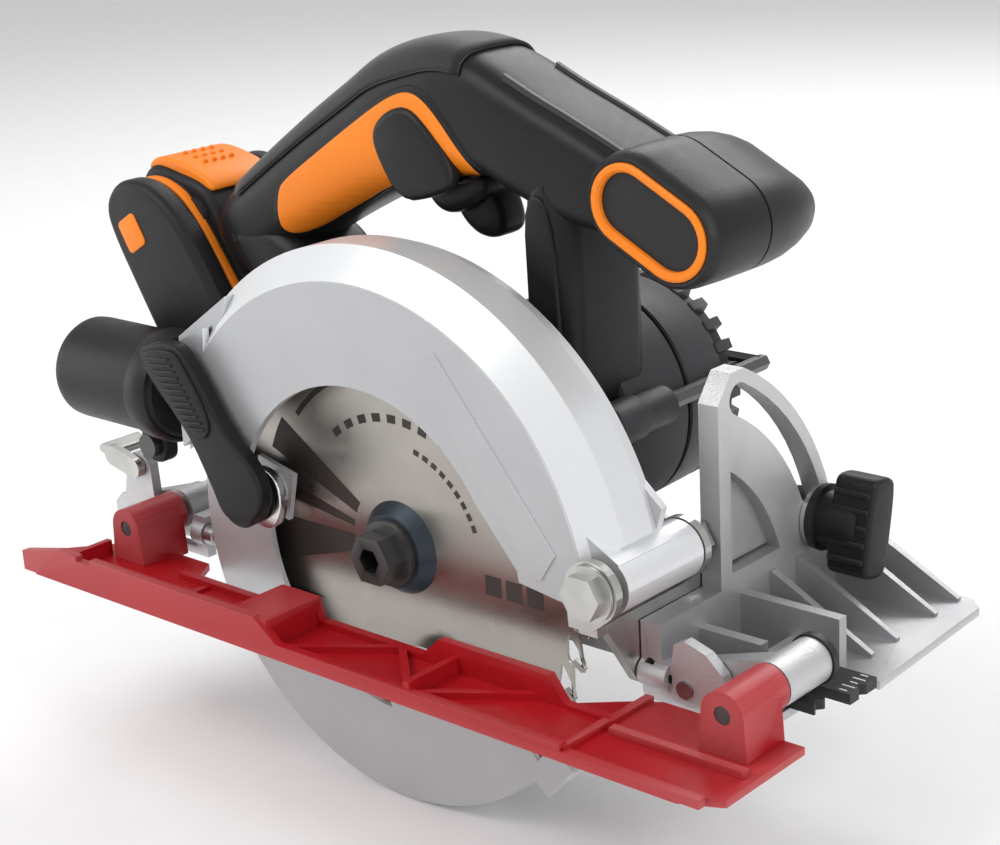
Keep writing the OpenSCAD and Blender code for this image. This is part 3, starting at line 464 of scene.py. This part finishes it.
def drape(me, proud, cuts=16):
    """Bends a flat inlay on to the grip's curved side, standing proud of it by so many millimetres."""
    bm = bmesh.new()
    bm.from_mesh(me)
    xs, zs = [v.co.x for v in bm.verts], [v.co.z for v in bm.verts]
    for lo, hi, no in ((min(xs), max(xs), (1, 0, 0)), (min(zs), max(zs), (0, 0, 1))):
        for i in range(1, cuts):
            p = lo + (hi - lo) * i / cuts
            bmesh.ops.bisect_plane(bm, geom=bm.verts[:] + bm.edges[:] + bm.faces[:],
                                   plane_co=(no[0] * p, 0, no[2] * p), plane_no=no)
    y0 = min(v.co.y for v in bm.verts)
    for v in bm.verts:
        hit = grip_tree.ray_cast(Vector((v.co.x, -0.2, v.co.z)), Vector((0, 1, 0)))[0]
        base = (hit.y - SH.y) if hit else 0.0235
        v.co.y = base + (v.co.y - y0) - proud * K
    bm.to_mesh(me)
    bm.free()
    return me


inlay = chaikin([(-74, 131), (-72, 139.5), (-69, 142.5), (-60, 148.5), (-39, 161.5), (-19, 173.5), (-9, 177.5),
                 (-2, 177), (5, 172), (14, 161.5), (21, 152), (18, 150), (8, 148), (-4, 147), (-18, 146), (-42, 134.5),
                 (-66, 122.5), (-74, 122.5)])
put("inlay_orange", drape(slab_mesh(inlay, [], 0, 3.0, 0.9, 3), 0.9), ORANGE, "saw", "orange", ("grip_inlay",))
groove = [((x + 28) * 1.055 - 28, (z - 150) * 1.085 + 150) for x, z in inlay]
put("inlay_groove", drape(slab_mesh(groove, [], 0, 2.0, 0.5, 2), 0.35), BLACK, "saw", "shell_black")

# ---------- trigger ----------
cheek = chaikin(G([(77, -44), (76, -24), (80, -17), (90, -15.5), (99, -19), (103, -30), (105, -42), (103, -50),
                   (92, -49)]))
slab("trigger_cheek", cheek, [], 20.4, 27, 2.4, SHELL, "saw", "shell_black")
collar = chaikin(G([(81, -40), (106, -40), (107.5, -48), (106, -55), (98, -57), (87, -55), (82, -50)]))
slab("trigger_brow", collar, [], 29, 57, 4, SHELL, "saw", "shell_black")
blade = chaikin(G([(86, -46), (85, -56), (88, -64), (94, -68.5), (100, -68), (103, -60), (103, -48)]))
slab("trigger_blade", blade, [], 34.5, 51.5, 5, BLACK, "trigger", "black_plastic", ("trigger",), 5)


def carve(name, outline, y0, y1):
    """Cuts room in a piece for a part that slides into it."""
    o = bpy.data.objects[name]
    me = slab_mesh(outline, [], y0, y1, 0.2, 1)
    me.transform(Matrix.Translation(SH))
    tool = bpy.data.objects.new("room", me)
    bpy.context.scene.collection.objects.link(tool)
    md = o.modifiers.new("slot", "BOOLEAN")
    md.operation = "DIFFERENCE"
    md.object = tool
    md.solver = "EXACT"
    md.use_self = name.startswith("inlay")
    new = bpy.data.meshes.new_from_object(o.evaluated_get(bpy.context.evaluated_depsgraph_get()))
    o.modifiers.clear()
    o.data = new
    bpy.data.objects.remove(tool)


room = chaikin(G([(84.6, -60), (84.4, -38), (103.8, -38), (103.8, -60)]), 1)
for name in ("trigger_brow", "handle_grip", "inlay_orange", "inlay_groove"):
    carve(name, room, 34.0, 52.0)

# ---------- front grip ----------
GRIP_END_REAR, GRIP_END_FRONT = (91, 152), (108, 143)


def gring(y, r, shift=0, n=18):
    """A section of the front grip at y, moved back and down by shift."""
    return [(x - shift, y, z - shift) for x, z in capsule(GRIP_END_REAR, GRIP_END_FRONT, r, n)]


def grings(rows):
    return [gring(*row) for row in rows]


loft("front_grip_body", grings([(21, 10.9), (14, 11.4), (12.6, 12.4), (12.2, 13.6), (13.4, 14.8), (17, 15.6),
                                (28, 15.9), (40, 15.9), (40.2, 15.4), (40.8, 15.4), (41, 15.9), (50, 15.7, 0.3),
                                (58, 14.9, 0.8), (66, 13.3, 1.4), (74, 10.8, 2),
                                (80, 7.8, 2.6), (84, 4.6, 3), (85.8, 1.4, 3.2)]),
     SHELL, "saw", "shell_black")
loft("front_grip_ring_soft", grings([(13.5, 12.7), (11.9, 12.4), (11.4, 11.6), (11.5, 10.4), (12.4, 9.6), (15, 9.3)]),
     ORANGE, "saw", "orange", ("front_grip_ring",), cap=False)
loft("front_grip_dish", grings([(13.6, 10.6), (15.4, 10.2), (18.2, 8.2), (19.4, 5), (19.8, 1.0)]),
     BLACK, "saw", "shell_black")

# ---------- battery ----------
bat = chaikin(G([(-61.5, -71), (-62, -20), (-62, 8), (-59, 18), (-50, 22.3), (-41, 21), (-32, 14.5), (-25, 3),
                 (-21.5, -12), (-20.5, -40), (-21, -71), (-35, -73), (-50, -73)]))
stripe = chaikin(G([(-61, -70), (-61.4, 8), (-58.4, 17.6), (-49.7, 21.7), (-41, 20.4), (-32.4, 14), (-25.4, 2.8),
                    (-21.2, -40), (-22, -70)]))
middle = chaikin(G([(-59, -69), (-60, 8), (-57, 19), (-49, 24.6), (-42, 24.6), (-35, 18.8), (-22.5, 8), (-18.6, 0),
                    (-18.6, -69)]))
slab("pack_near_plate", bat, [], 12, 23.0, 3.4, PACK, "battery", "battery_grey", ("battery_case",), 5)
slab("pack_far_plate", bat, [], 70.0, 81, 3.4, PACK, "battery", "battery_grey", (), 5)
slab("pack_stripe_near", stripe, [], 23.1, 27.2, 0.9, ORANGE, "battery", "orange", ("battery_stripes",), 3)
slab("pack_stripe_far", stripe, [], 65.8, 69.9, 0.9, ORANGE, "battery", "orange", (), 3)
slab("pack_middle", middle, [], 28, 65, 3.5, PACK, "battery", "battery_grey", (), 5)
slab("pack_seam_near", stripe, [], 27.3, 28.9, 0.4, BLACK, "battery", "battery_grey", (), 2)
slab("pack_seam_far", stripe, [], 64.1, 65.7, 0.4, BLACK, "battery", "battery_grey", (), 2)
latch = chaikin(G([(-48, 24), (-46, 26.8), (-40, 26.6), (-31, 20.6), (-19.5, 8.6), (-17.6, 2), (-22, 3), (-39, 22)]))
slab("pack_latch", latch, [], 30.5, 62.5, 1.5, ORANGE, "battery_latch", "orange", ("battery_latch",), 4)
bm = bmesh.new()
for i in range(3):
    for j in range(4):
        lx, ly = -35.5 + 4.5 * i, 23.9 - 3.7 * i
        x, z = world(lx, ly)
        bmesh.ops.create_uvsphere(bm, u_segments=14, v_segments=8, radius=1.0,
                                  matrix=Matrix.Translation((x, 40 + 4.3 * j, z)))
from_bm("pack_latch_dots", bm, ORANGE, "battery_latch", "orange")
slab("pack_badge", G(rr((-55, -4), (-44, 9), 2)), [], 11.5, 12.6, 0.3, ORANGE, "battery", "orange", (), 2)

# ---------- motor ----------
MX, MZ = 24, 64.5    # the motor's axis
lathe("motor_body", [(45.3, 33), (45.3, 38.4), (46.4, 40), (76.8, 40), (77.6, 39.2), (77.8, 37.6), (79.2, 37.6),
                     (79.4, 39), (80, 39.6), (99, 39), (101.6, 37.6), (102, 34)], (MX, MZ), "Y",
      GREY, "saw", "motor_grey",
      ("motor_housing",), cap=False)
lathe("motor_cap", [(100, 34.5), (108, 34), (110.5, 32.5), (111.8, 30), (112, 8), (111.6, 2)], (MX, MZ), "Y",
      GREY, "saw", "motor_grey", ("motor_end_cap",))
vent = []
for i in range(28):
    for dt, r_ in ((-2.9, 38.9), (2.3, 38.9), (3.1, 35.4), (9.0, 35.4)):
        t = radians(i * 360 / 28 + dt)
        vent.append((MX + r_ * cos(t), MZ + r_ * sin(t)))
slab("motor_vents", vent, [], 100.5, 109.5, 0.7, GREY, "saw", "motor_grey", (), 2)
boxes("motor_fins", [Matrix.Translation((MX, 0, MZ)) @ Matrix.Rotation(-2 * pi * i / 12, 4, "Y") @
                     Matrix.Translation((19, 111.6, 0)) @ Matrix.Diagonal((18, 1.6, 2.2, 1)) for i in range(12)],
      GREY, "saw", "motor_grey", bevel=0.6)
lathe("key_clip", [(29.6, 2.9), (29.6, 6.6), (30.6, 7.6), (44, 7.6), (46, 6.6), (60, 6.6), (61, 5.6), (61, 2.9)],
      (66.5, 73), "Y", GREY, "saw", "motor_grey", cap=False, n=48)

# ---------- dust port ----------
PORT = (-7.5, 70)    # the dust port's axis
lathe("dust_tube", [(-95.8, 9), (-95.8, 17), (-97.5, 19), (-146, 19), (-148.5, 18.8), (-150, 18), (-149.6, 17.2),
                    (-146, 16.9), (-100, 16.4), (-98.2, 9)], PORT, "X",
      BLACK, "saw", "black_plastic", ("dust_port",), cap=False)
lathe("dust_collar", [(-108, 18.8), (-108, 19.9), (-107, 20.4), (-99, 20.4), (-97, 19.6), (-96.6, 18.6)],
      PORT, "X", BLACK, "saw", "black_plastic", cap=False)
foot = chaikin([(-124, 56), (-112, 56), (-110, 42), (-114, 38), (-121, 38), (-125, 43)])
slab("dust_foot", foot, [], -9, -3, 1, BLACK, "saw", "black_plastic", (), 3)

# ---------- guard lever ----------
LEVER_R, LEVER_ANGLE = 54, radians(166)    # where the lever is screwed to the lower guard
ex, ez = LEVER_R * cos(LEVER_ANGLE), AZ + LEVER_R * sin(LEVER_ANGLE)
arm = chaikin([(-99, 88.5), (-92, 91.8), (-81, 93.8), (-74, 91), (-57, 66), (-43, 55), (-39, 46), (-42, 37),
               (-51, 31.8), (-61, 34), (-65, 43), (-76, 62.5), (-94, 78.5)])
slab("lever_arm", arm, [], -26.6, -20.4, 1.4, BLACK, "lower_guard", "black_plastic", ("guard_lever",))
pad = chaikin([(-95, 87.5), (-91, 90), (-80, 91.4), (-75, 89.5), (-61, 68), (-66, 60), (-75, 65), (-92, 80)])
slab("lever_frame", pad, [], -27.6, -26, 0.5, BLACK, "lower_guard", "black_plastic", (), 2)
lathe("lever_hub", [(-14.6, 4.8), (-19, 4.8), (-19.2, 9), (-25.4, 9.2), (-26.4, 8.4), (-26.6, 6.6), (-25, 5.6),
                    (-22.4, 5.2), (-22.3, 0.5)], (ex, ez), "Y", BLACK, "lower_guard", "black_plastic", n=48)
boxes("lever_ribs", [Matrix.Translation((-86.4 + 17.2 * f, -27.5, 87.4 - 22.6 * f)) @
                     Matrix.Rotation(radians(-6), 4, "Y") @ Matrix.Diagonal((12.6 - 3.0 * f, 1.5, 1.0, 1))
                     for f in [i / 11 for i in range(12)]],
      BLACK, "lower_guard", "black_plastic", bevel=0.35)
tab = chaikin([(ex + 2, ez + 12), (ex + 12, ez + 9), (ex + 14, ez - 2), (ex + 8, ez - 12), (ex - 4, ez - 9),
               (ex - 4, ez + 8)])
slab("guard_tab", tab, [], -18.4, -14.7, 0.6, POLISH, "lower_guard", "guard_silver", (), 2)

# ---------- bevel knob ----------
HINGE_Y, HINGE_Z = 2, 9                   # the bevel hinge
KNOB_R, KNOB_ANGLE = 88, radians(17)      # the knob's place on the quadrant
ky, kz = HINGE_Y + KNOB_R * cos(KNOB_ANGLE), HINGE_Z + KNOB_R * sin(KNOB_ANGLE)
lathe("knob_hub", [(111.2, 11.2), (113.4, 11.4), (114, 9.6), (126, 9.2), (128.4, 8), (128.6, 1)], (ky, kz), "X",
      BLACK, "bevel_knob", "black_plastic", ("bevel_knob",), n=48)
a = radians(-12)


def turn(p):
    """A point of the wing, turned about the knob's axis."""
    return (ky + p[0] * cos(a) - p[1] * sin(a), kz + p[0] * sin(a) + p[1] * cos(a))


bar = chaikin([(-5.5, -17), (5.5, -17), (7, -12), (7.4, 0), (7, 12), (5.5, 17), (-5.5, 17), (-7, 12), (-7.4, 0),
               (-7, -12)])
me = slab_mesh([turn(p) for p in bar], [], 0, 15.5, 1.8, 4)
for v in me.vertices:
    v.co = (133.6 * K - v.co.y, v.co.x, v.co.z)
put("knob_wing", me, BLACK, "bevel_knob", "black_plastic")
boxes("knob_ribs", [Matrix.Translation((125.6, ky, kz)) @ Matrix.Rotation(a, 4, "X") @
                    Matrix.Translation((0, side * 6.7, -11 + 5.5 * i)) @ Matrix.Diagonal((13.4, 1.9, 2.2, 1))
                    for side in (-1, 1) for i in range(5)], BLACK, "bevel_knob", "black_plastic", bevel=0.7, seg=3)

# ---------- blade ----------
TEETH = 40
BORE_R = 10
TOOTH = ((0, 82.5), (-3.2, 81.6), (-6.4, 78.6), (-8.6, 75.4), (-9.6, 73.6), (-8.6, 72.9), (-5.4, 73.8), (-2.4, 74.6),
         (-0.6, 75.6), (-0.2, 77.6))
out = []
for i in range(TEETH):
    t = -2 * pi * i / TEETH
    out += [(x * cos(t) - z * sin(t), x * sin(t) + z * cos(t) + AZ) for x, z in TOOTH]
bore = [(BORE_R * cos(2 * pi * i / 64), BORE_R * sin(2 * pi * i / 64) + AZ) for i in range(64)]
put("blade_disc", slab_mesh(out, [bore], -0.6, 0.6, 0.05, 1), BLADE, "spindle", "blade_steel", ("blade",))
bm = bmesh.new()


def tile(pts, y=-0.64):
    """A flat printed patch on the blade's near face."""
    bm.faces.new([bm.verts.new((x, y, z + AZ)) for x, z in pts])


def arcband(r0, r1, a0, a1, n=18):
    """A printed sector between two radii and two angles."""
    A = [radians(a0 + (a1 - a0) * i / n) for i in range(n + 1)]
    tile([(r1 * cos(t), r1 * sin(t)) for t in A] + [(r0 * cos(t), r0 * sin(t)) for t in reversed(A)])


arcband(22, 66, 146, 158)
arcband(22, 66, 166, 172)
arcband(22, 66, 180, 196)
arcband(60, 62, 60, 140)
for k in range(7):
    arcband(44, 47, 70 + 9 * k, 75 + 9 * k, 3)
for k in range(9):
    arcband(36, 38, 20 + 6.5 * k, 24 + 6.5 * k, 3)
for k in range(3):
    tile([(38 + 9 * k, -8), (45 + 9 * k, -8), (45 + 9 * k, -1), (38 + 9 * k, -1)])
from_bm("blade_marks", bm, PRINT, "spindle", "blade_steel")
boxes("carbide_tips", [Matrix.Translation((0, 0, AZ)) @ Matrix.Rotation(2 * pi * i / TEETH, 4, "Y") @
                       Matrix.Translation((-1.3, 0, 79.9)) @ Matrix.Rotation(radians(14), 4, "Y") @
                       Matrix.Diagonal((2.2, 1.9, 4.6, 1)) for i in range(TEETH)],
      STEEL, "spindle", "blade_steel", bevel=0.12)

# ---------- scale lines on the cut indicator ----------
bm = bmesh.new()
bm.from_mesh(frame["nodes"]["cut_indicator"].data)
indicator_tree = BVHTree.FromBMesh(bm)
bm.free()
lo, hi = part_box("cut_indicator")
lines = []
for k in range(9):
    p = Vector((hi[0] - 0.0035, lo[1] + (hi[1] - lo[1]) * (k + 0.5) / 9, hi[2] + 0.01))
    hit = indicator_tree.ray_cast(p, Vector((0, 0, -1)))[0]
    if hit and hit.z > hi[2] - 0.003:
        lines.append(Matrix.Translation((hit.x / K, (hit.y - SH.y) / K, hit.z / K + 0.05)) @
                     Matrix.Diagonal((4.4 if k % 2 else 2.6, 0.5, 0.2, 1)))
boxes("indicator_lines", lines, WHITE, "base", "black_plastic")

# ---------- camera, light, floor ----------
cam = bpy.data.objects.new("cam", bpy.data.cameras.new("cam"))
bpy.context.scene.collection.objects.link(cam)
bpy.context.scene.camera = cam
cam.data.lens = 73.24
cam.data.sensor_width = 36
cam.data.clip_start = 0.01
az, el, ro = 0.7421752685779511, 0.3152652156434143, -0.055927889336412476    # azimuth, elevation and roll
BACK, RIGHT, UP = 687.66, 32.99, 42.0                                         # from the arbor, mm
R = Vector((cos(az), sin(az), 0))
U = Vector((-sin(az) * sin(el), cos(az) * sin(el), cos(el)))
B = Vector((sin(az) * cos(el), -cos(az) * cos(el), sin(el)))
R2 = cos(ro) * R + sin(ro) * U
U2 = -sin(ro) * R + cos(ro) * U
P = (BACK * B + RIGHT * R2 + UP * U2) * K + Vector((0, 0, AZ * K)) + SH
cam.matrix_world = Matrix(((R2.x, U2.x, B.x, P.x), (R2.y, U2.y, B.y, P.y), (R2.z, U2.z, B.z, P.z), (0, 0, 0, 1)))

bm = bmesh.new()
bmesh.ops.create_grid(bm, x_segments=8, y_segments=8, size=6)
me = bpy.data.meshes.new("floor")
bm.to_mesh(me)
bm.free()
floor = bpy.data.objects.new("floor", me)
floor.location = (0, 0, -0.0632)
bpy.context.scene.collection.objects.link(floor)
me.materials.append(mat("pale_floor", (0.86, 0.86, 0.865), 0.7, var=0.01, bump=0.02))


def area(name, loc, size, power, target=(0, 0, 0.07)):
    """A soft rectangular light aimed at the saw."""
    d = bpy.data.lights.new(name, "AREA")
    d.shape = "RECTANGLE"
    d.size, d.size_y = size
    d.energy = power
    o = bpy.data.objects.new(name, d)
    o.location = loc
    o.rotation_euler = (Vector(target) - Vector(loc)).to_track_quat("-Z", "Y").to_euler()
    bpy.context.scene.collection.objects.link(o)


area("key", (-0.5, -1.1, 1.3), (1.0, 1.0), 13)
area("right", (1.3, -0.2, 0.7), (0.5, 1.3), 8)
area("back", (-0.3, 1.3, 1.1), (1.4, 0.6), 13)
area("low_left", (-1.2, -0.6, 0.25), (0.4, 0.9), 3.5)
w = bpy.data.worlds.new("studio")
bpy.context.scene.world = w
w.use_nodes = True
w.node_tree.nodes["Background"].inputs["Color"].default_value = (1, 1, 1, 1)
w.node_tree.nodes["Background"].inputs["Strength"].default_value = 0.62
bpy.context.scene.view_settings.view_transform = "Standard"
